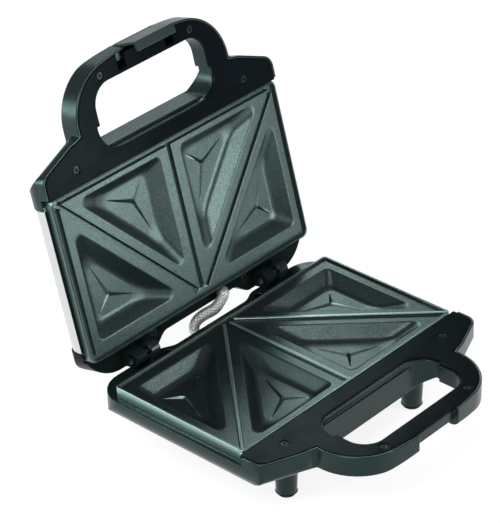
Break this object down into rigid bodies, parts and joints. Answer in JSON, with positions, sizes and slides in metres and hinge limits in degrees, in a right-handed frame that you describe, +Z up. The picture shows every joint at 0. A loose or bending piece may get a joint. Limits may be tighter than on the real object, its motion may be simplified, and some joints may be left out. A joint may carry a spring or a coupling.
{
  "type": "sandwich toaster",
  "caption": "Countertop sandwich toaster with a hinged lid, facing non-stick plates with triangular pockets, looped handles and a latch clip, standing open on short legs.",
  "frame": {"origin": "under the middle of the box of the open toaster, on the surface that it stands on", "axes": "+X to the right seen from the handle side, +Y from the handle towards the hinge, +Z up; the hinge axis is parallel to X"},
  "size_m": [0.23, 0.2756, 0.2677],
  "materials": {
    "casing_plastic": "satin",
    "panel_plastic": "satin",
    "dark_screw": "black oxide",
    "nonstick_plate": "non-stick coating",
    "element_tube": "heat-tinted",
    "shield_steel": "zinc-plated",
    "ceramic": "matt",
    "block_plastic": "matt",
    "lead_sleeve": "woven glass",
    "rubber": "matt",
    "bright_screw": "zinc-plated",
    "pin_steel": "plain",
    "braid": "woven glass",
    "cover_steel": "brushed",
    "red_lens": "clear red",
    "green_lens": "clear green",
    "lamp_glass": "clear",
    "clip_plastic": "satin"
  },
  "bodies": {
    "base": {"base_shell": "casing_plastic", "base_handle_panel": "panel_plastic", "base_panel_screws": "dark_screw", "lower_plate": "nonstick_plate", "lower_plate_screws": "dark_screw", "lower_heating_element": "element_tube", "lower_heat_shield": "shield_steel", "lower_thermostat": "ceramic", "thermal_fuse": "ceramic", "terminal_block": "block_plastic", "base_wiring": "lead_sleeve", "cord_gland": "rubber", "legs": "casing_plastic", "leg_screws": "bright_screw", "foot_pads": "rubber", "hinge_pins": "pin_steel", "base_grommet": "rubber", "heat_sleeve": "braid"},
    "lid": {"lid_cover": "cover_steel", "lid_front_frame": "casing_plastic", "lid_rear_frame": "casing_plastic", "lid_handle_panel": "panel_plastic", "lid_panel_screws": "dark_screw", "upper_plate": "nonstick_plate", "upper_plate_screws": "dark_screw", "upper_heating_element": "element_tube", "upper_heat_shield": "shield_steel", "upper_thermostat": "ceramic", "power_lamp_lens": "red_lens", "ready_lamp_lens": "green_lens", "neon_lamps": "lamp_glass", "lid_wiring": "lead_sleeve", "lid_grommet": "rubber", "clip_pin": "pin_steel"},
    "latch_clip": {"latch_clip": "clip_plastic"}
  },
  "joints": [
    {"name": "lid_hinge", "type": "hinge", "parent": "base", "child": "lid", "pos_m": [0, 0.07131, 0.0578], "axis": [1, 0, 0], "range_deg": [0, 104.5], "deforming": ["heat_sleeve"]},
    {"name": "clip_swing", "type": "hinge", "parent": "lid", "child": "latch_clip", "pos_m": [0, 0.13173, 0.25547], "axis": [1, 0, 0], "range_deg": [-45, 15.5]}
  ]
}
